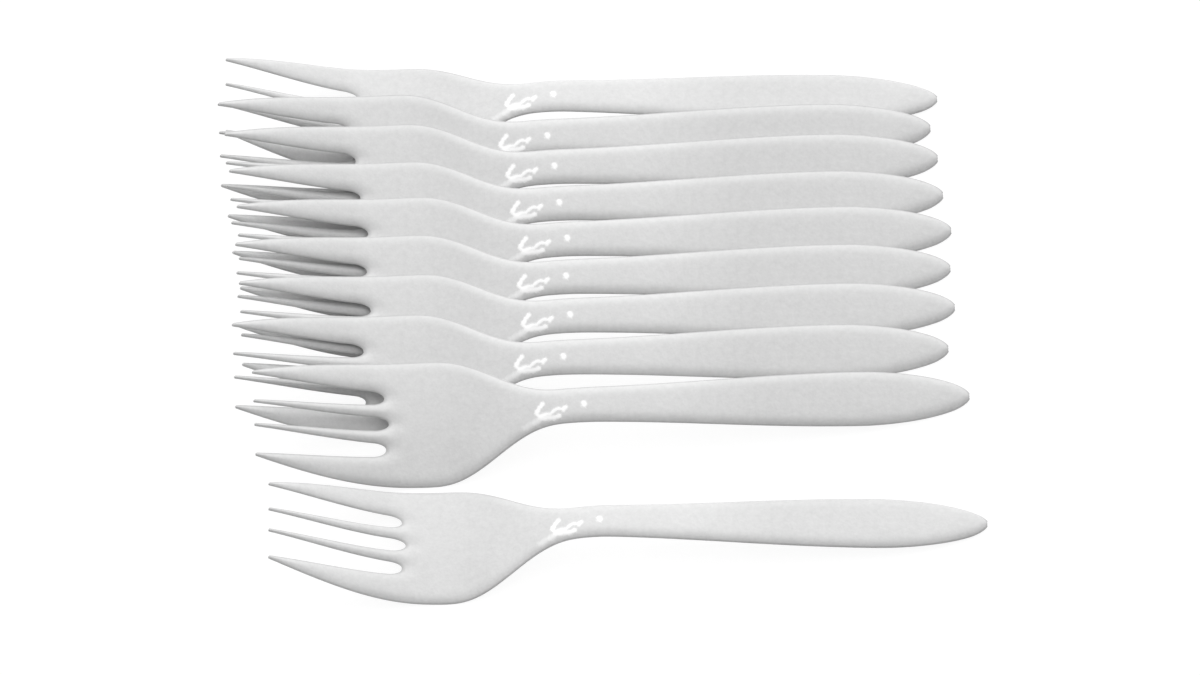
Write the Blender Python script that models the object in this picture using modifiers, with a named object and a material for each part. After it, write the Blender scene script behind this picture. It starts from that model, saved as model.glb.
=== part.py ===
"""Ten moulded plastic forks: nine in a row, each leaning on the one behind it, and one that lies apart.

The tines point along -X and the handles along +X. The row comes forward along -Y, and the table is Z = 0.
A fork is drawn with x counted from its tine tips, y across it from its centre line, and the underside of
its straight handle at z = 0. Then it is laid on the table, on its bowl and the end of its handle.
"""

import math

import bmesh
import bpy
from mathutils import Matrix, Vector
from mathutils.bvhtree import BVHTree

# One fork's outline in plan, in metres.
FORK_LENGTH = 0.165
BOWL_WIDTH = 0.0302
BOWL_WIDEST_AT = 0.0405
TIP_SPREAD = 0.0205
SIDE_FULLNESS = 2.2
SHOULDER_LENGTH = 0.0320
WAIST_WIDTH = 0.0082
HANDLE_WIDTH = 0.0130
HANDLE_END_LENGTH = 0.0252
END_FULLNESS = 1.8
END_BLUNTNESS = 0.57
END_FACE_WIDTH = 0.0014

# The four tines, and the slots between them.
SLOT_DEPTH = 0.0303
SLOT_WIDTH = 0.0033
SLOT_SPACING = 0.0063
TINE_TIP_WIDTH = 0.00085
INNER_TIP_SPREAD = 0.0057
MIDDLE_SLOT_EXTRA = 0.0009
SLOT_BOW_REACH = 0.020

# The side profile: how far the bowl lies under the handle, and how the tines rise again.
BOWL_DROP = 0.0122
BOWL_LOWEST_AT = 0.0360
NECK_RISE_LENGTH = 0.0457
TINE_RISE = 0.0110
TINE_CURL = 1.9

# The section: how far the bowl's and the handle's sides lie under their middles.
BOWL_CROWN = 0.0010
HANDLE_CROWN = 0.0004

# The wall. The underside's edges are crisp, and the upper face rounds down to a thin edge.
WALL = 0.0011
EDGE_WALL = 0.0005
EDGE_REACH = 0.0018

# The row: how far each fork lies in front of the one behind it, and how far it has slid along it.
ROW_STEPS = (
    (0.0126, -0.0015),
    (0.0084, 0.0016),
    (0.0102, 0.0011),
    (0.0099, 0.0018),
    (0.0104, -0.0003),
    (0.0107, 0.0009),
    (0.0113, -0.0016),
    (0.0132, 0.0047),
)
LONE_FORK_GAP = 0.0002
LONE_FORK_SLIDE = 0.0036
RESTING_GAP = 0.00025
LEANING_TURN = math.radians(1.6)
MOST_LEAN = math.radians(40)
LEAN_ROUNDS = 14
LEVEL_ROUNDS = 6

# How finely the sheet is divided.
TINE_CELLS = 5
ROOT_CELLS = 3
BOWL_CELLS = 7
HANDLE_CELLS = 4
END_CELLS = 4
SEAM = 1e-6
WALL_GROUP = 0
SHADING_ANGLE = math.radians(40)

PLASTIC_COLOUR = (0.74, 0.74, 0.74, 1.0)
PLASTIC_ROUGHNESS = 0.32


def clear_scene():
    for obj in list(bpy.data.objects):
        bpy.data.objects.remove(obj, do_unlink=True)


def mix(a, b, share):
    return a + (b - a) * share


def eased(share):
    """From 0 to 1 with both ends level."""
    s = min(max(share, 0.0), 1.0)
    return s**3 * (s * (6 * s - 15) + 10)


def waist_at():
    return BOWL_WIDEST_AT + SHOULDER_LENGTH


def handle_widest_at():
    return FORK_LENGTH - HANDLE_END_LENGTH


def handle_share(x):
    """0 in the tines and the bowl, 1 on the handle."""
    return eased((x - BOWL_WIDEST_AT) / SHOULDER_LENGTH)


def half_width(x):
    """Half the fork's width: tines, bowl, shoulders, waist, then a leaf-shaped handle with a blunt end."""
    if x < BOWL_WIDEST_AT:
        towards_tips = 1 - x / BOWL_WIDEST_AT
        return mix(BOWL_WIDTH, TIP_SPREAD, towards_tips**SIDE_FULLNESS) / 2
    if x < waist_at():
        return mix(BOWL_WIDTH, WAIST_WIDTH, handle_share(x)) / 2
    if x < handle_widest_at():
        along = (x - waist_at()) / (handle_widest_at() - waist_at())
        return mix(WAIST_WIDTH, HANDLE_WIDTH, (1 - math.cos(math.pi * along)) / 2) / 2
    towards_end = min((x - handle_widest_at()) / HANDLE_END_LENGTH, 1.0)
    width = HANDLE_WIDTH * (1 - towards_end**END_FULLNESS) ** END_BLUNTNESS
    return max(width, END_FACE_WIDTH) / 2


def slot_line(x):
    """The middle of a side slot. Past the slot's root the line follows the fork's outline."""
    return SLOT_SPACING * half_width(max(x, SLOT_DEPTH)) / half_width(SLOT_DEPTH)


def slot_edge(x, line, side, at_tip):
    """One edge of a slot: straight from a tine's tip, then round the root to the slot's own line."""
    root_radius = SLOT_WIDTH / 2
    straight = SLOT_DEPTH - root_radius
    if x < straight:
        return mix(at_tip, line + side * root_radius, x / straight)
    reach = root_radius**2 - (min(x, SLOT_DEPTH) - straight) ** 2
    return line + side * math.sqrt(max(reach, 0.0))


def inner_tine_edges(x):
    """The inner tine's two edges, and past the root the sheet between the centre line and the side slot's line."""
    tip_middle = INNER_TIP_SPREAD / 2
    near_centre = slot_edge(x, 0.0, 1, tip_middle - TINE_TIP_WIDTH / 2)
    far = slot_edge(x, slot_line(x), -1, tip_middle + TINE_TIP_WIDTH / 2)
    return near_centre, far


def outer_tine_edges(x):
    """The outer tine's two edges, and past the root the sheet between the side slot's line and the outline."""
    near_centre = slot_edge(x, slot_line(x), 1, TIP_SPREAD / 2 - TINE_TIP_WIDTH)
    return near_centre, half_width(x)


def profile_height(x):
    """The side profile: tines that curl up, the bowl's lowest line, the neck's rise, the straight handle."""
    if x < BOWL_LOWEST_AT:
        towards_tips = 1 - x / BOWL_LOWEST_AT
        return TINE_RISE * towards_tips**2 * mix(TINE_CURL, 1, towards_tips) - BOWL_DROP
    return -BOWL_DROP * (1 - eased((x - BOWL_LOWEST_AT) / NECK_RISE_LENGTH))


def underside_point(x, y):
    """A point of the underside. Its section is crowned: the sides lie lower than the middle."""
    near_root = max(0.0, 1 - ((x - SLOT_DEPTH) / SLOT_BOW_REACH) ** 2) ** 2
    off_middle = min(1.0, y / SLOT_SPACING)
    bowed_x = x + MIDDLE_SLOT_EXTRA * near_root * (1 - off_middle**2)
    off_centre = y / half_width(x)
    handle = handle_share(x)
    bowl_fall = BOWL_CROWN * (1 - handle) * (2 * y / BOWL_WIDTH) ** 2
    handle_fall = HANDLE_CROWN * handle * off_centre**3
    return Vector((bowed_x, y, profile_height(bowed_x) - bowl_fall - handle_fall))


def quarter_turn(cells):
    """Shares from 0 to 1, closer together towards 1, as evenly round a quarter circle."""
    return [math.sin(math.pi / 2 * n / cells) for n in range(cells + 1)]


def stations():
    """Where the sheet is divided along the fork: closer at the slots' round roots and at the handle's end."""
    root_radius = SLOT_WIDTH / 2
    straight = SLOT_DEPTH - root_radius
    places = [mix(0.0, straight, n / TINE_CELLS) for n in range(TINE_CELLS)]
    places += [mix(straight, SLOT_DEPTH, share) for share in quarter_turn(ROOT_CELLS)]
    places += [mix(SLOT_DEPTH + EDGE_REACH, waist_at(), n / BOWL_CELLS) for n in range(BOWL_CELLS)]
    places += [mix(waist_at(), handle_widest_at(), n / HANDLE_CELLS) for n in range(HANDLE_CELLS)]
    places += [mix(handle_widest_at(), FORK_LENGTH, share) for share in quarter_turn(END_CELLS)]
    return places


def wall_share(x, y, near_centre, far):
    """How much of the full wall stands at a point: all of it, but less near an edge, where the face rounds down."""
    to_edge = min(x, FORK_LENGTH - x, half_width(x) - y)
    if x < SLOT_DEPTH:
        to_edge = min(to_edge, y - near_centre, far - y)
    else:
        to_middle_root = math.hypot(x - SLOT_DEPTH, y)
        to_side_root = math.hypot(x - SLOT_DEPTH, y - slot_line(x))
        to_edge = min(to_edge, to_middle_root, to_side_root)
    left = 1 - min(max(to_edge, 0.0) / EDGE_REACH, 1.0)
    return mix(EDGE_WALL / WALL, 1.0, math.sqrt(1 - left**2))


def inner_tine_columns(near_centre, far):
    """The inner tine's two edges and its ridge."""
    return [near_centre, (near_centre + far) / 2, far]


def outer_tine_columns(near_centre, far):
    """The outer tine's two edges, and where the round of each begins."""
    reach = min(EDGE_REACH, (far - near_centre) / 3)
    return [near_centre, near_centre + reach, far - reach, far]


def add_strip(bm, edges, columns):
    """Lofts quads from the tips to the handle's end, between two edges given for each station."""
    shares = bm.verts.layers.deform.verify()
    rows = []
    for x in stations():
        near_centre, far = edges(x)
        row = []
        for y in columns(near_centre, far):
            vertex = bm.verts.new(underside_point(x, y))
            vertex[shares][WALL_GROUP] = wall_share(x, y, near_centre, far)
            row.append(vertex)
        rows.append(row)
    for row, following in zip(rows, rows[1:]):
        for n in range(len(row) - 1):
            bm.faces.new((row[n], following[n], following[n + 1], row[n + 1]))


def half_sheet():
    """The underside of the fork's half at +Y: an inner and an outer tine, joined from the slots' roots on."""
    bm = bmesh.new()
    add_strip(bm, inner_tine_edges, inner_tine_columns)
    add_strip(bm, outer_tine_edges, outer_tine_columns)
    bmesh.ops.remove_doubles(bm, verts=bm.verts, dist=SEAM)
    mesh = bpy.data.meshes.new("fork_sheet")
    bm.to_mesh(mesh)
    bm.free()
    return mesh


def plastic():
    material = bpy.data.materials.new("white_plastic")
    material.use_nodes = True
    shader = material.node_tree.nodes["Principled BSDF"]
    shader.inputs["Base Color"].default_value = PLASTIC_COLOUR
    shader.inputs["Roughness"].default_value = PLASTIC_ROUGHNESS
    shader.inputs["Metallic"].default_value = 0.0
    return material


def fork_mesh():
    """The whole moulding: the half sheet mirrored, then given its wall, upwards from the underside."""
    sheet = bpy.data.objects.new("fork_sheet", half_sheet())
    bpy.context.scene.collection.objects.link(sheet)
    wall_group = sheet.vertex_groups.new(name="wall")
    mirror = sheet.modifiers.new("other_half", "MIRROR")
    mirror.use_axis = (False, True, False)
    mirror.merge_threshold = SEAM
    wall = sheet.modifiers.new("wall", "SOLIDIFY")
    wall.thickness = WALL
    wall.offset = 1
    wall.use_even_offset = True
    wall.vertex_group = wall_group.name
    evaluated = sheet.evaluated_get(bpy.context.evaluated_depsgraph_get())
    mesh = bpy.data.meshes.new_from_object(evaluated)
    bpy.data.objects.remove(sheet)
    mesh.name = "fork"
    mesh.materials.append(plastic())
    mesh.shade_smooth()
    mesh.set_sharp_from_angle(angle=SHADING_ANGLE)
    return mesh


def lowest(points):
    return min(points, key=lambda point: point.z)


def rested(points, turn):
    """A turned fork tipped along its length and lifted, so that its bowl and its handle both touch the table."""
    bowl = [point for point in points if point.x < waist_at()]
    handle = [point for point in points if point.x >= waist_at()]
    pitch = 0.0
    for _ in range(LEVEL_ROUNDS):
        tipped = Matrix.Rotation(pitch, 4, "Y") @ turn
        bowl_foot = lowest([tipped @ point for point in bowl])
        handle_foot = lowest([tipped @ point for point in handle])
        pitch += math.atan2(handle_foot.z - bowl_foot.z, handle_foot.x - bowl_foot.x)
    tipped = Matrix.Rotation(pitch, 4, "Y") @ turn
    lift = -lowest([tipped @ point for point in points]).z
    return Matrix.Translation((0.0, 0.0, lift)) @ tipped


def surface(mesh, placing):
    """A placed fork's surface, to test against another's."""
    points = [placing @ vertex.co for vertex in mesh.vertices]
    return BVHTree.FromPolygons(points, [face.vertices for face in mesh.polygons])


def leaned(mesh, flat, lean):
    """A flat fork leaned back and rested again, with its handle turned slightly to the back."""
    turn = Matrix.Rotation(LEANING_TURN, 4, "Z") @ Matrix.Rotation(lean, 4, "X") @ flat
    return rested([vertex.co for vertex in mesh.vertices], turn)


def leaning_on(mesh, flat, spot, behind):
    """A flat fork moved to a spot and leaned back as little as keeps the resting gap to the forks behind."""
    lowered = Matrix.Translation(spot - Vector((0.0, 0.0, RESTING_GAP)))
    least = 0.0
    most = MOST_LEAN
    for _ in range(LEAN_ROUNDS):
        lean = (least + most) / 2
        tree = surface(mesh, lowered @ leaned(mesh, flat, lean))
        if any(tree.overlap(other) for other in behind):
            least = lean
        else:
            most = lean
    return Matrix.Translation(spot) @ leaned(mesh, flat, most)


def placings(mesh):
    """Where the ten forks lie: the first flat, eight leaning on those behind, and the last flat and apart."""
    flat = rested([vertex.co for vertex in mesh.vertices], Matrix.Identity(4))
    spot = Vector((0.0, 0.0, 0.0))
    placed = [flat]
    surfaces = [surface(mesh, flat)]
    for forward, slide in ROW_STEPS:
        spot = spot + Vector((slide, -forward, 0.0))
        placed.append(leaning_on(mesh, flat, spot, surfaces))
        surfaces.append(surface(mesh, placed[-1]))
    spot = spot + Vector((LONE_FORK_SLIDE, -BOWL_WIDTH - LONE_FORK_GAP, 0.0))
    placed.append(Matrix.Translation(spot) @ flat)
    return placed


def build():
    clear_scene()
    collection = bpy.data.collections.new("plastic_forks")
    bpy.context.scene.collection.children.link(collection)
    mesh = fork_mesh()
    placed = placings(mesh)
    corners = [placing @ vertex.co for placing in placed for vertex in mesh.vertices]
    middle_x = (min(c.x for c in corners) + max(c.x for c in corners)) / 2
    middle_y = (min(c.y for c in corners) + max(c.y for c in corners)) / 2
    to_origin = Matrix.Translation((-middle_x, -middle_y, 0.0))
    for number, placing in enumerate(placed, start=1):
        fork = bpy.data.objects.new(f"fork_{number:02d}", mesh)
        fork.matrix_world = to_origin @ placing
        collection.objects.link(fork)


build()
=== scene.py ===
"""Ten white plastic forks on a white table: nine in a row, leaning on each other, and one in front."""

import math

import bmesh
import bpy
import numpy as np
from mathutils import Matrix, Quaternion, Vector
from mathutils.bvhtree import BVHTree


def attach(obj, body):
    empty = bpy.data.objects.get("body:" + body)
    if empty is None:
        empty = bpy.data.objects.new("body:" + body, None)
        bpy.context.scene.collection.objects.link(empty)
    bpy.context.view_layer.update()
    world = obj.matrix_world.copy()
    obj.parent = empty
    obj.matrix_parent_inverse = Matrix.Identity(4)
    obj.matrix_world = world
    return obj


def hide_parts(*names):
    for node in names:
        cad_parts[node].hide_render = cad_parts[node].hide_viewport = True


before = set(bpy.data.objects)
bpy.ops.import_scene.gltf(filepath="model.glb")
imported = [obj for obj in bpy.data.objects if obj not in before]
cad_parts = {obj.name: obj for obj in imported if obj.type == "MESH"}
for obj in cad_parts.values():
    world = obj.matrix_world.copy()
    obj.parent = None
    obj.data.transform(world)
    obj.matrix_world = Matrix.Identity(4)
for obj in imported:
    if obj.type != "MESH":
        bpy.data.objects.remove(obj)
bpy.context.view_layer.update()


# THE FORKS
# Each fork is one injection moulding in white polystyrene, with four tapering tines, a shallow bowl and a
# leaf-shaped handle. All ten come from the same mould, so each one is a copy of the same mesh. Nothing
# holds
# them together: they rest on the table and on each other.

# The outline from above: the bowl, the shoulders that draw in to a slim waist, and the handle

FORK_LENGTH = 0.165
BOWL_WIDTH = 0.0302
BOWL_WIDEST_AT = 0.0405
TIP_SPREAD = 0.0205
SIDE_FULLNESS = 2.2
SHOULDER_LENGTH = 0.0320
WAIST_WIDTH = 0.0082
HANDLE_WIDTH = 0.0130
HANDLE_END_LENGTH = 0.0252
END_FULLNESS = 1.8
END_BLUNTNESS = 0.52

WAIST_AT = BOWL_WIDEST_AT + SHOULDER_LENGTH
HANDLE_WIDEST_AT = FORK_LENGTH - HANDLE_END_LENGTH


def mix(a, b, share):
    """From a to b, by a share that is 0 at a and 1 at b."""
    return a + (b - a) * share


def eased(share):
    """From 0 to 1 with both ends level."""
    s = min(max(share, 0.0), 1.0)
    return s**3 * (s * (6 * s - 15) + 10)


def handle_share(x):
    """0 in the tines and the bowl, 1 on the handle."""
    return eased((x - BOWL_WIDEST_AT) / SHOULDER_LENGTH)


def half_width(x):
    """Half the fork's width, x from the tine tips."""
    if x < BOWL_WIDEST_AT:
        return mix(BOWL_WIDTH, TIP_SPREAD, (1 - x / BOWL_WIDEST_AT) ** SIDE_FULLNESS) / 2
    if x < WAIST_AT:
        return mix(BOWL_WIDTH, WAIST_WIDTH, handle_share(x)) / 2
    if x < HANDLE_WIDEST_AT:
        along = (x - WAIST_AT) / (HANDLE_WIDEST_AT - WAIST_AT)
        return mix(WAIST_WIDTH, HANDLE_WIDTH, (1 - math.cos(math.pi * along)) / 2) / 2
    towards_end = min((x - HANDLE_WIDEST_AT) / HANDLE_END_LENGTH, 1.0)
    return HANDLE_WIDTH * (1 - towards_end**END_FULLNESS) ** END_BLUNTNESS / 2


# The three slots between the tines: straight sides, rounded roots, and tines that round off at their tips

SLOT_DEPTH = 0.0308
SLOT_WIDTH = 0.0033
SLOT_SPACING = 0.0063
ROOT_LENGTH = 0.0038
TINE_TIP_WIDTH = 0.0007
INNER_TIP_SPREAD = 0.0057

ROOT_RADIUS = SLOT_WIDTH / 2
SLOT_STRAIGHT = SLOT_DEPTH - ROOT_LENGTH
TIP_RADIUS = TINE_TIP_WIDTH / 2
INNER_NEAR_TIP = INNER_TIP_SPREAD / 2 - TIP_RADIUS
INNER_FAR_TIP = INNER_TIP_SPREAD / 2 + TIP_RADIUS
OUTER_NEAR_TIP = TIP_SPREAD / 2 - TINE_TIP_WIDTH


def slot_line(x):
    """The middle of a side slot. Past the slot's root the line follows the fork's outline."""
    return SLOT_SPACING * half_width(max(x, SLOT_DEPTH)) / half_width(SLOT_DEPTH)


def straight_edge(x, line, side, at_tip):
    """A slot's edge along the straight part of a tine."""
    return mix(at_tip, line + side * ROOT_RADIUS, x / SLOT_STRAIGHT)


def slot_edge(x, line, side, at_tip):
    """A slot's edge: straight along the tine, then round the root to the slot's own line."""
    if x < SLOT_STRAIGHT:
        return straight_edge(x, line, side, at_tip)
    into_root = min((x - SLOT_STRAIGHT) / ROOT_LENGTH, 1.0)
    return line + side * ROOT_RADIUS * math.sqrt(1 - into_root**2)


def tip_rounded(x, near_centre, far):
    """A tine's two edges drawn together round its tip."""
    if x >= TIP_RADIUS:
        return near_centre, far
    share = math.sqrt(max(1 - (1 - x / TIP_RADIUS) ** 2, 0.0))
    middle = (near_centre + far) / 2
    return mix(middle, near_centre, share), mix(middle, far, share)


def inner_tine_edges(x):
    """The two edges of an inner tine, and past the slots of the strip that runs on from it."""
    near_centre = slot_edge(x, 0.0, 1, INNER_NEAR_TIP)
    return tip_rounded(x, near_centre, slot_edge(x, slot_line(x), -1, INNER_FAR_TIP))


def outer_tine_edges(x):
    """The two edges of an outer tine, and past the slots of the strip that runs on from it."""
    near_centre = slot_edge(x, slot_line(x), 1, OUTER_NEAR_TIP)
    return tip_rounded(x, near_centre, half_width(x))


# The underside: tines that curl up, a bowl that sinks and rises to the neck, and a crowned section

BOWL_DROP = 0.0122
BOWL_LOWEST_AT = 0.0360
NECK_RISE_LENGTH = 0.0457
TINE_RISE = 0.0110
TINE_CURL = 1.9
BOWL_CROWN = 0.0010
HANDLE_CROWN = 0.0004
FLAT_END_WIDTH = 0.0060
MIDDLE_SLOT_EXTRA = 0.0009
SLOT_BOW_REACH = 0.020


def profile_height(x):
    """The side profile's height, with the straight handle at 0."""
    if x < BOWL_LOWEST_AT:
        towards_tips = 1 - x / BOWL_LOWEST_AT
        return TINE_RISE * towards_tips**2 * mix(TINE_CURL, 1, towards_tips) - BOWL_DROP
    return -BOWL_DROP * (1 - eased((x - BOWL_LOWEST_AT) / NECK_RISE_LENGTH))


def underside_point(x, y):
    """A point of the underside. Its sides lie lower than its middle, and the middle slot runs deepest."""
    near_root = max(0.0, 1 - ((x - SLOT_DEPTH) / SLOT_BOW_REACH) ** 2) ** 2
    off_middle = min(1.0, abs(y) / SLOT_SPACING)
    bowed_x = x + MIDDLE_SLOT_EXTRA * near_root * (1 - off_middle**2)
    off_centre = min(abs(y) / max(half_width(x), TIP_RADIUS), 1.0)
    handle = handle_share(x)
    bowl_fall = BOWL_CROWN * (1 - handle) * (2 * y / BOWL_WIDTH) ** 2
    handle_fall = HANDLE_CROWN * handle * min(2 * half_width(x) / FLAT_END_WIDTH, 1.0) * off_centre**3
    return Vector((bowed_x, y, profile_height(bowed_x) - bowl_fall - handle_fall))


def underside_normal(x, y):
    """The underside's upward direction at a point."""
    step = 1e-5
    along = underside_point(x + step, y) - underside_point(x - step, y)
    across = underside_point(x, y + step) - underside_point(x, y - step)
    return along.cross(across).normalized()


# The wall: thickest in the middle, and thinner towards every edge, most of all round the slots' roots

WALL = 0.0011
EDGE_WALL = 0.00042
EDGE_REACH = 0.0028
ROOT_EDGE_WALL = 0.00019
ROOT_EDGE_REACH = 0.0031
ROOTS_AT = 0.0285
ROOTS_REACH = 0.0085
UNDER_EDGE = 0.00018
EDGE_BLEND = 4
INSIDE_ENDS = 1e-5
LEAST_DISTANCE = 1e-7


def square_on(gap, edge, x):
    """A gap measured along y to an edge, turned into the distance square on to it."""
    step = 1e-6
    slope = (edge(x + step) - edge(x - step)) / (2 * step)
    return gap / math.sqrt(1 + slope**2)


def slot_distance(x, y, line, below_tip, above_tip):
    """How far a point of the sheet lies from a slot."""
    if x >= SLOT_STRAIGHT:
        return math.hypot((x - SLOT_STRAIGHT) * ROOT_RADIUS / ROOT_LENGTH, y - line) - ROOT_RADIUS
    side = 1 if y > line else -1
    at_tip = above_tip if side > 0 else below_tip
    gap = side * (y - straight_edge(x, line, side, at_tip))
    return square_on(gap, lambda u: straight_edge(u, line, side, at_tip), x)


def edge_distance(x, y):
    """How far a point lies from the nearest edge, blended so that it stays smooth along a tine's ridge."""
    across = abs(y)
    reach = min(max(x, INSIDE_ENDS), FORK_LENGTH - INSIDE_ENDS)
    found = [
        square_on(half_width(x) - across, half_width, reach),
        square_on(half_width(x) + across, half_width, reach),
        slot_distance(x, across, 0.0, -INNER_NEAR_TIP, INNER_NEAR_TIP),
        slot_distance(x, across, SLOT_SPACING, INNER_FAR_TIP, OUTER_NEAR_TIP),
    ]
    return sum(max(d, LEAST_DISTANCE) ** -EDGE_BLEND for d in found) ** (-1 / EDGE_BLEND)


def upper_height(x, distance):
    """How high the upper face stands over the underside. It curves down towards the edge."""
    rooted = math.exp(-(((x - ROOTS_AT) / ROOTS_REACH) ** 2))
    left = 1 - min(distance / mix(EDGE_REACH, ROOT_EDGE_REACH, rooted), 1.0)
    return mix(mix(EDGE_WALL, ROOT_EDGE_WALL, rooted), WALL, 1 - left**3)


def lower_height(distance):
    """The small round on the underside's edges."""
    left = 1 - min(distance / UNDER_EDGE, 1.0)
    return UNDER_EDGE * (1 - math.sqrt(1 - left**2))


# The moulding's skin: a sheet in plan, lifted to the upper face and the underside, joined round its edges

TIP_CELLS = 5
TINE_CELLS = 32
ROOT_CELLS = 12
ROUND_CELLS = 8
BOWL_CELLS = 40
HANDLE_CELLS = 34
END_CELLS = 30
INNER_CELLS = 12
OUTER_CELLS = 20
SEAM = 1e-6


def quarter_turn(cells):
    """Shares from 0 towards 1, without 1 itself and closer together there, as round a quarter circle."""
    return [math.sin(math.pi / 2 * n / cells) for n in range(cells)]


def half_turn(cells):
    """Shares from 0 to 1, closer together at both ends, as evenly round half a circle."""
    return [(1 - math.cos(math.pi * n / cells)) / 2 for n in range(cells + 1)]


def stations():
    """Where the sheet is divided along the fork: closer at the tips, the slots' roots and the end."""
    rounded_to = SLOT_DEPTH + EDGE_REACH
    places = [TIP_RADIUS * (1 - math.cos(math.pi / 2 * n / TIP_CELLS)) for n in range(TIP_CELLS)]
    places += [mix(TIP_RADIUS, SLOT_STRAIGHT, n / TINE_CELLS) for n in range(TINE_CELLS)]
    places += [mix(SLOT_STRAIGHT, SLOT_DEPTH, share) for share in quarter_turn(ROOT_CELLS)]
    places += [mix(SLOT_DEPTH, rounded_to, (n / ROUND_CELLS) ** 2) for n in range(ROUND_CELLS)]
    places += [mix(rounded_to, WAIST_AT, n / BOWL_CELLS) for n in range(BOWL_CELLS)]
    places += [mix(WAIST_AT, HANDLE_WIDEST_AT, n / HANDLE_CELLS) for n in range(HANDLE_CELLS)]
    places += [mix(HANDLE_WIDEST_AT, FORK_LENGTH, share) for share in quarter_turn(END_CELLS)]
    return places + [FORK_LENGTH]


def add_strip(sheet, edges, shares, side):
    """Adds quads in plan between a strip's two edges, from the tips to the handle's end, on one side."""
    rows = []
    for x in stations():
        near_centre, far = edges(x)
        rows.append([sheet.verts.new((x, side * mix(near_centre, far, share), 0.0)) for share in shares])
    for row, following in zip(rows, rows[1:]):
        for n in range(len(row) - 1):
            quad = (row[n], following[n], following[n + 1], row[n + 1])
            sheet.faces.new(quad if side > 0 else quad[::-1])


def fork_sheet():
    """The fork in plan, as one flat sheet with open slots."""
    sheet = bmesh.new()
    for side in (1, -1):
        add_strip(sheet, inner_tine_edges, half_turn(INNER_CELLS), side)
        add_strip(sheet, outer_tine_edges, half_turn(OUTER_CELLS), side)
    bmesh.ops.remove_doubles(sheet, verts=sheet.verts, dist=SEAM)
    bmesh.ops.dissolve_degenerate(sheet, dist=SEAM / 2, edges=sheet.edges)
    sheet.verts.index_update()
    return sheet


def mark_points(mesh, name, kind, field, values):
    """Keeps a value at each point of a mesh, for the material to read."""
    mesh.attributes.new(name, kind, "POINT").data.foreach_set(field, values)


def fork_body():
    """The moulding's whole skin, with what its material reads at each point."""
    sheet = fork_sheet()
    count = len(sheet.verts)
    lowers = []
    uppers = []
    distances = []
    for vert in sheet.verts:
        x, y = vert.co.x, vert.co.y
        distance = 0.0 if vert.is_boundary else edge_distance(x, y)
        under = underside_point(x, y)
        up = underside_normal(x, y)
        lowers.append(under + up * lower_height(distance))
        uppers.append(under + up * upper_height(x, distance))
        distances.append(distance)
    faces = [tuple(v.index for v in face.verts)[::-1] for face in sheet.faces]
    faces += [tuple(v.index + count for v in face.verts) for face in sheet.faces]
    for edge in sheet.edges:
        if edge.is_boundary:
            loop = edge.link_loops[0]
            a, b = loop.vert.index, loop.link_loop_next.vert.index
            faces.append((a, b, b + count, a + count))
    sheet.free()
    points = lowers + uppers
    mesh = bpy.data.meshes.new("fork_body")
    mesh.from_pydata(points, [], faces)
    mesh.update()
    mesh.shade_smooth()
    mark_points(mesh, "mould_place", "FLOAT_VECTOR", "vector", [c for point in points for c in point])
    mark_points(mesh, "edge_distance", "FLOAT", "value", distances + distances)
    mark_points(mesh, "upper_face", "FLOAT", "value", [0.0] * count + [1.0] * count)
    return mesh


fork_mesh = fork_body()


# The white plastic: satin polystyrene, slightly mottled, with painted shade along its edges, painted light
# on the tines and the neck, and a painted highlight at the neck in glossier strokes that glow faintly


class Value:
    """One output of a node, which can be added, multiplied and passed on like a number."""

    def __init__(self, tree, socket):
        self.tree = tree
        self.socket = socket

    def __add__(self, other):
        return made(self.tree, "ShaderNodeMath", {"operation": "ADD"}, {0: self, 1: other})

    def __sub__(self, other):
        return made(self.tree, "ShaderNodeMath", {"operation": "SUBTRACT"}, {0: self, 1: other})

    def __rsub__(self, other):
        return made(self.tree, "ShaderNodeMath", {"operation": "SUBTRACT"}, {0: other, 1: self})

    def __mul__(self, other):
        return made(self.tree, "ShaderNodeMath", {"operation": "MULTIPLY"}, {0: self, 1: other})

    def __pow__(self, other):
        return made(self.tree, "ShaderNodeMath", {"operation": "POWER"}, {0: self, 1: other})

    __radd__ = __add__
    __rmul__ = __mul__


def give(tree, socket, given):
    """Sets a socket to a constant, or links a value to it."""
    if isinstance(given, Value):
        tree.links.new(given.socket, socket)
    else:
        socket.default_value = given


def made(tree, kind, settings, inputs, output=0):
    """A new node with its settings and inputs, as the value of one of its outputs."""
    node = tree.nodes.new(kind)
    for name, setting in settings.items():
        setattr(node, name, setting)
    for name, given in inputs.items():
        give(tree, node.inputs[name], given)
    return Value(tree, node.outputs[output])


def attribute(tree, name, output="Fac"):
    """What a mesh attribute holds at the shaded point."""
    return made(tree, "ShaderNodeAttribute", {"attribute_name": name}, {}, output)


def vector_math(tree, operation, first, second, output="Vector"):
    """One operation on two vectors."""
    return made(tree, "ShaderNodeVectorMath", {"operation": operation}, {0: first, 1: second}, output)


NOISE_MIDDLE = 0.5


def noise(tree, place, scale, detail):
    """A noise pattern about zero, from -0.5 to 0.5."""
    inputs = {"Vector": place, "Scale": scale, "Detail": detail}
    return made(tree, "ShaderNodeTexNoise", {"noise_dimensions": "3D"}, inputs) - NOISE_MIDDLE


def ramp(tree, value, start, end, low=0.0, high=1.0):
    """From one level where a value is at its start to another at its end, eased."""
    settings = {"interpolation_type": "SMOOTHSTEP"}
    inputs = {"Value": value, "From Min": start, "From Max": end, "To Min": low, "To Max": high}
    return made(tree, "ShaderNodeMapRange", settings, inputs)


MILLIMETRES_PER_METRE = 1000
STROKE_CORE = 0.15
STROKE_FADED = 1.25


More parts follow.
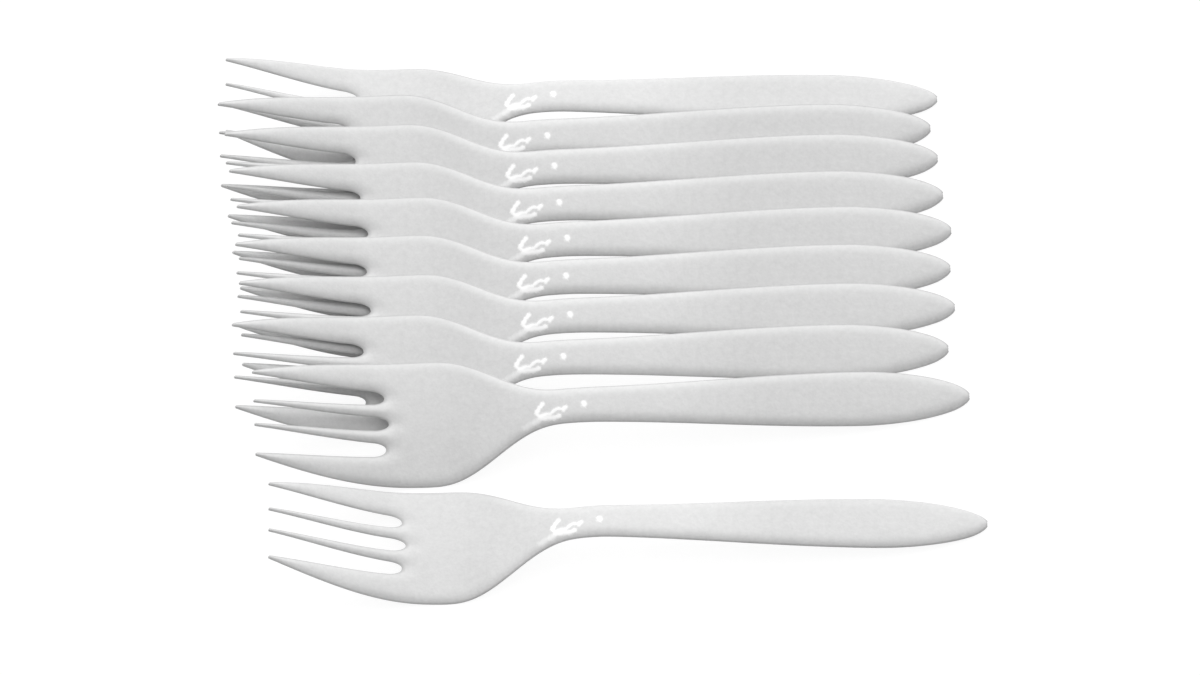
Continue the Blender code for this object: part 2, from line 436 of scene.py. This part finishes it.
def stroke(tree, spot, start, end, reach, strength):
    """A short line with round, soft ends on the fork's plan, between two points given in millimetres."""
    start = Vector((*start, 0.0)) / MILLIMETRES_PER_METRE
    end = Vector((*end, 0.0)) / MILLIMETRES_PER_METRE
    run = end - start
    away = vector_math(tree, "SUBTRACT", spot, start)
    share = vector_math(tree, "DOT_PRODUCT", away, run / run.length_squared, "Value")
    share = made(tree, "ShaderNodeClamp", {}, {"Value": share})
    nearest = made(tree, "ShaderNodeVectorMath", {"operation": "SCALE"}, {0: run, "Scale": share})
    gap = vector_math(tree, "DISTANCE", away, nearest, "Value")
    return ramp(tree, gap, reach * STROKE_CORE, reach * STROKE_FADED, strength, 0.0)


FRAYING = 0.0010
FRAY_SCALE = 1300.0

# The painted highlight's strokes: each one's two ends in millimetres from the tine tips and the centre
# line, its reach in metres, and its strength
HIGHLIGHT_STROKES = (
    ((66.5, 0.7), (65.1, -1.2), 0.0007, 1.0),
    ((65.1, -1.2), (65.8, -2.2), 0.0007, 0.9),
    ((65.8, -2.3), (67.1, -1.9), 0.0007, 1.0),
    ((67.1, -1.9), (68.2, -1.9), 0.0006, 0.9),
    ((68.2, -1.9), (69.1, -1.1), 0.0006, 0.9),
    ((69.1, -1.1), (70.0, -0.8), 0.0005, 0.9),
    ((70.0, -0.8), (71.3, -1.1), 0.0005, 0.8),
    ((71.2, -1.1), (71.7, -0.7), 0.0007, 1.0),
    ((69.2, -2.8), (70.3, -2.6), 0.0007, 0.95),
    ((65.9, -2.6), (69.2, -2.9), 0.0008, 0.9),
    ((66.2, -2.8), (64.4, -3.6), 0.0009, 0.55),
    ((64.4, -3.6), (62.4, -4.4), 0.0009, 0.4),
    ((75.9, 0.0), (76.0, -0.4), 0.0008, 1.0),
)


def painted_highlight_marks(tree, place):
    """Painted highlight on the upper face: up to 1 on its strokes, 0 off them, with slightly frayed edges.
    """
    frayed = made(tree, "ShaderNodeTexNoise", {}, {"Vector": place, "Scale": FRAY_SCALE}, "Color")
    frayed = vector_math(tree, "SUBTRACT", frayed, (NOISE_MIDDLE, NOISE_MIDDLE, NOISE_MIDDLE))
    frayed = vector_math(tree, "MULTIPLY", frayed, (FRAYING, FRAYING, FRAYING))
    spot = vector_math(tree, "ADD", place, frayed)
    spot = vector_math(tree, "MULTIPLY", spot, (1.0, 1.0, 0.0))
    painted_highlights = stroke(tree, spot, *HIGHLIGHT_STROKES[0])
    for line in HIGHLIGHT_STROKES[1:]:
        both = {0: painted_highlights, 1: stroke(tree, spot, *line)}
        painted_highlights = made(tree, "ShaderNodeMath", {"operation": "MAXIMUM"}, both)
    return painted_highlights * attribute(tree, "upper_face")


PLASTIC_WHITE = 0.71
CLOUDS = 0.15
CLOUD_SCALE = 750.0
CLOUD_DETAIL = 2.0
FLECKS = 0.09
FLECK_SCALE = 1600.0
FLECK_DETAIL = 1.0
DRIFTS = 0.07
DRIFT_SCALE = 120.0
DRIFT_DETAIL = 1.0
# Painted shade: the colour is darker within EDGE_LINE of every edge
EDGE_SHADE = 0.26
EDGE_LINE = 0.0005
# Painted light: the tines and the neck are coloured lighter, where more light falls on them
PAINTED_LIGHT_TINES = 0.09
TINE_FADE = (0.004, 0.036)
PAINTED_LIGHT_NECK = 0.09
NECK_STARTS = (0.044, 0.062)
NECK_ENDS = (0.088, 0.120)


def mottled_white_with_painted_light(tree, place, clouds, flecks):
    """The plastic's mottled white, with painted shade on its edges and painted light on tines and neck."""
    level = 1 + clouds * CLOUDS + flecks * FLECKS + noise(tree, place, DRIFT_SCALE, DRIFT_DETAIL) * DRIFTS
    # Painted shade along every edge, where the edges' rounding falls into shade
    edge = ramp(tree, attribute(tree, "edge_distance"), 0.0, EDGE_LINE, 1.0, 0.0)
    level = PLASTIC_WHITE * level * (1 - edge * EDGE_SHADE)
    along = made(tree, "ShaderNodeSeparateXYZ", {}, {"Vector": place})
    # Painted light on the tines and the neck
    level = level * ramp(tree, along, *TINE_FADE, 1 + PAINTED_LIGHT_TINES, 1.0)
    neck = ramp(tree, along, *NECK_STARTS) * ramp(tree, along, *NECK_ENDS, 1.0, 0.0)
    return level * (1 + neck * PAINTED_LIGHT_NECK)


PLASTIC_ROUGHNESS = 0.32
CLOUD_ROUGHNESS = 0.1
# The painted highlight's near-white colour and faint glow, and the real gloss and bump on its strokes
HIGHLIGHT_WHITE = 0.97
HIGHLIGHT_ROUGHNESS = 0.14
HIGHLIGHT_GLOW = 0.2
FLECK_HEIGHT = 0.00002
CLOUD_HEIGHT = 0.00003
HIGHLIGHT_HEIGHT = 0.00005


def white_plastic():
    """The forks' one material. Its painted highlight glows faintly, in place of a lamp's reflection."""
    white = bpy.data.materials.new("white_plastic")
    white.use_nodes = True
    # The painted highlight glows too faintly to light anything else, so the forks aren't counted as lamps
    white.cycles.emission_sampling = "NONE"
    tree = white.node_tree
    place = attribute(tree, "mould_place", "Vector")
    clouds = noise(tree, place, CLOUD_SCALE, CLOUD_DETAIL)
    flecks = noise(tree, place, FLECK_SCALE, FLECK_DETAIL)
    painted_highlights = painted_highlight_marks(tree, place)
    level = mottled_white_with_painted_light(tree, place, clouds, flecks)
    # Painted highlight: near-white colour on the strokes
    level = level + (HIGHLIGHT_WHITE - level) * painted_highlights
    smoother = painted_highlights * (PLASTIC_ROUGHNESS - HIGHLIGHT_ROUGHNESS)
    roughness = PLASTIC_ROUGHNESS + clouds * CLOUD_ROUGHNESS - smoother
    height = flecks * FLECK_HEIGHT + clouds * CLOUD_HEIGHT + painted_highlights * HIGHLIGHT_HEIGHT
    shader = tree.nodes["Principled BSDF"]
    give(tree, shader.inputs["Base Color"], level)
    give(tree, shader.inputs["Roughness"], roughness)
    # Painted highlight: a faint glow on the strokes
    give(tree, shader.inputs["Emission Color"], painted_highlights * HIGHLIGHT_GLOW)
    shader.inputs["Emission Strength"].default_value = 1.0
    bump = made(tree, "ShaderNodeBump", {}, {"Height": height, "Distance": 1.0})
    give(tree, shader.inputs["Normal"], bump)
    return white


fork_mesh.materials.append(white_plastic())


# The forks' places: each one lies on the underside of the solid that it replaces, first by the two shapes'
# middles and axes, and then by the nearest points of the two undersides

# The underside is what faces down by at least this share of its normal
DOWNWARD = 0.3
SETTLING_ROUNDS = 16


def mesh_arrays(mesh):
    """A mesh's points, and the corners of its triangles."""
    mesh.calc_loop_triangles()
    points = np.zeros(len(mesh.vertices) * 3)
    mesh.vertices.foreach_get("co", points)
    corners = np.zeros(len(mesh.loop_triangles) * 3, np.int32)
    mesh.loop_triangles.foreach_get("vertices", corners)
    return points.reshape(-1, 3), corners.reshape(-1, 3)


def solid_frame(points, triangles):
    """A closed mesh's middle and its own axes, as a matrix: the length first, then the width, then up.

    The solid is summed as tetrahedra from one point to each triangle, which gives the 6, the 4 and the 20.
    """
    a, b, c = (points[triangles[:, n]] for n in range(3))
    volumes = np.einsum("ij,ij->i", a, np.cross(b, c)) / 6
    total = volumes.sum()
    middle = ((a + b + c) * volumes[:, None] / 4).sum(axis=0) / total
    a, b, c = a - middle, b - middle, c - middle
    volumes = np.einsum("ij,ij->i", a, np.cross(b, c)) / 6
    spread = sum(np.einsum("i,ij,ik->jk", volumes, p, p) for p in (a, b, c, a + b + c)) / 20
    _, axes = np.linalg.eigh(spread / total)
    along = axes[:, np.argmax(np.abs(axes[0]))]
    across = axes[:, np.argmax(np.abs(axes[1]))]
    along = along * np.sign(along[0])
    across = across * np.sign(across[1])
    own_axes = np.identity(4)
    own_axes[:3] = np.column_stack((along, across, np.cross(along, across), middle))
    return own_axes


def settled(placed, solid, underside):
    """A placing, moved until the solid's underside corners lie on the fork's own underside."""
    back = placed.inverted().to_3x3()
    corners = [vert.co for vert in solid.vertices if (back @ vert.normal).z < -DOWNWARD]
    solid_along = [(back @ co).x for co in corners]
    fork_along = [(back @ (placed @ vert.co)).x for vert in fork_mesh.vertices]
    gap = (min(solid_along) + max(solid_along) - min(fork_along) - max(fork_along)) / 2
    placed = Matrix.Translation(placed.to_3x3() @ Vector((gap, 0.0, 0.0))) @ placed
    goals = np.array(corners)
    for _ in range(SETTLING_ROUNDS):
        back = placed.inverted()
        found = np.array([placed @ underside.find_nearest(back @ co)[0] for co in corners])
        goal_middle, found_middle = goals.mean(axis=0), found.mean(axis=0)
        left, _, right = np.linalg.svd((found - found_middle).T @ (goals - goal_middle))
        turn = Matrix((left @ right).T.tolist()).to_4x4()
        placed = Matrix.Translation(goal_middle) @ turn @ Matrix.Translation(-found_middle) @ placed
    return placed


low_faces = [face.vertices for face in fork_mesh.polygons if face.normal.z < -DOWNWARD]
fork_underside = BVHTree.FromPolygons([vert.co for vert in fork_mesh.vertices], low_faces)
fork_frame = solid_frame(*mesh_arrays(fork_mesh))

for name, node in sorted(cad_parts.items()):
    placed = Matrix((solid_frame(*mesh_arrays(node.data)) @ np.linalg.inv(fork_frame)).tolist())
    placed = settled(placed, node.data, fork_underside)
    mesh = fork_mesh.copy()
    mesh.transform(placed)
    fork = bpy.data.objects.new("moulded_" + name, mesh)
    bpy.context.scene.collection.objects.link(fork)
    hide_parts(name)
    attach(fork, "root")


# THE TABLE
# A plain surface, painted a matt white. The camera and the reflections see it mostly as bare white, and the
# rest is the paint under the light, so that it keeps the forks' soft shadows.

TABLE_SIZE = 12
TABLE_WHITE = 0.86
TABLE_ROUGHNESS = 0.9
SEEN_WHITE = 1.08
SEEN_SHARE = 0.85


def matt_paint():
    """The table's white paint, with the bare white laid over it for the camera and the reflections."""
    paint = bpy.data.materials.new("table_white")
    paint.use_nodes = True
    # Only the camera and the reflections see the bare white, so the table isn't counted as a lamp
    paint.cycles.emission_sampling = "NONE"
    tree = paint.node_tree
    shader = tree.nodes["Principled BSDF"]
    shader.inputs["Base Color"].default_value = (TABLE_WHITE, TABLE_WHITE, TABLE_WHITE, 1)
    shader.inputs["Roughness"].default_value = TABLE_ROUGHNESS
    shader.inputs["Specular IOR Level"].default_value = 0.0
    seen = made(tree, "ShaderNodeLightPath", {}, {}, "Is Camera Ray")
    seen = seen + made(tree, "ShaderNodeLightPath", {}, {}, "Is Glossy Ray")
    bare_white = made(tree, "ShaderNodeEmission", {}, {"Strength": SEEN_WHITE})
    layers = {0: seen * SEEN_SHARE, 1: Value(tree, shader.outputs[0]), 2: bare_white}
    mixed = made(tree, "ShaderNodeMixShader", {}, layers)
    give(tree, tree.nodes["Material Output"].inputs["Surface"], mixed)
    return paint


bpy.ops.mesh.primitive_plane_add(size=TABLE_SIZE)
table = bpy.context.object
table.name = "table"
table.data.materials.append(matt_paint())


# THE LIGHT
# A white room all round, which grows brighter towards a broad window that stands high behind the forks. The
# camera itself sees the room as plain white.

ROOM_LIGHT = 0.12
WINDOW_LIGHT = 2.02
WINDOW_AT = (0.05, 0.50, 0.865)
WINDOW_FALLOFF = 2.0
ROOM_SEEN = 1.0

room = bpy.data.worlds.new("studio")
room.use_nodes = True
room_tree = room.node_tree
outwards = made(room_tree, "ShaderNodeTexCoord", {}, {}, "Generated")
towards_window = vector_math(room_tree, "DOT_PRODUCT", outwards, WINDOW_AT, "Value")
towards_window = made(room_tree, "ShaderNodeClamp", {}, {"Value": towards_window})
light = ROOM_LIGHT + WINDOW_LIGHT * towards_window**WINDOW_FALLOFF
by_camera = made(room_tree, "ShaderNodeLightPath", {}, {}, "Is Camera Ray")
backdrop = room_tree.nodes["Background"]
give(room_tree, backdrop.inputs["Strength"], light + by_camera * (ROOM_SEEN - light))
backdrop.inputs["Color"].default_value = (1, 1, 1, 1)
bpy.context.scene.world = room


# THE CAMERA
# A very long lens, far off and high in front of the forks, turned a little to the side and about its own
# axis. Its distance gives the photo's scale at the forks.

PIXELS_PER_METRE = 4333
PICTURE_WIDTH = 1200
LENS = 800
SENSOR_WIDTH = 36
NEAREST_SEEN = 0.1
FARTHEST_SEEN = 100
AZIMUTH = math.radians(6.5)
ELEVATION = math.radians(57)
ROLL = math.radians(8.0)
AIMED_AT = Vector((-0.0012, -0.0026, 0.0))

camera = bpy.data.objects.new("camera", bpy.data.cameras.new("camera"))
bpy.context.scene.collection.objects.link(camera)
camera.data.lens = LENS
camera.data.sensor_width = SENSOR_WIDTH
camera.data.clip_start = NEAREST_SEEN
camera.data.clip_end = FARTHEST_SEEN
flat = math.cos(ELEVATION)
backwards = Vector((math.sin(AZIMUTH) * flat, -math.cos(AZIMUTH) * flat, math.sin(ELEVATION)))
camera.location = AIMED_AT + backwards * (LENS / SENSOR_WIDTH * PICTURE_WIDTH / PIXELS_PER_METRE)
camera.rotation_euler = (backwards.to_track_quat("Z", "Y") @ Quaternion((0, 0, 1), -ROLL)).to_euler()
bpy.context.scene.camera = camera
bpy.context.scene.view_settings.view_transform = "Standard"
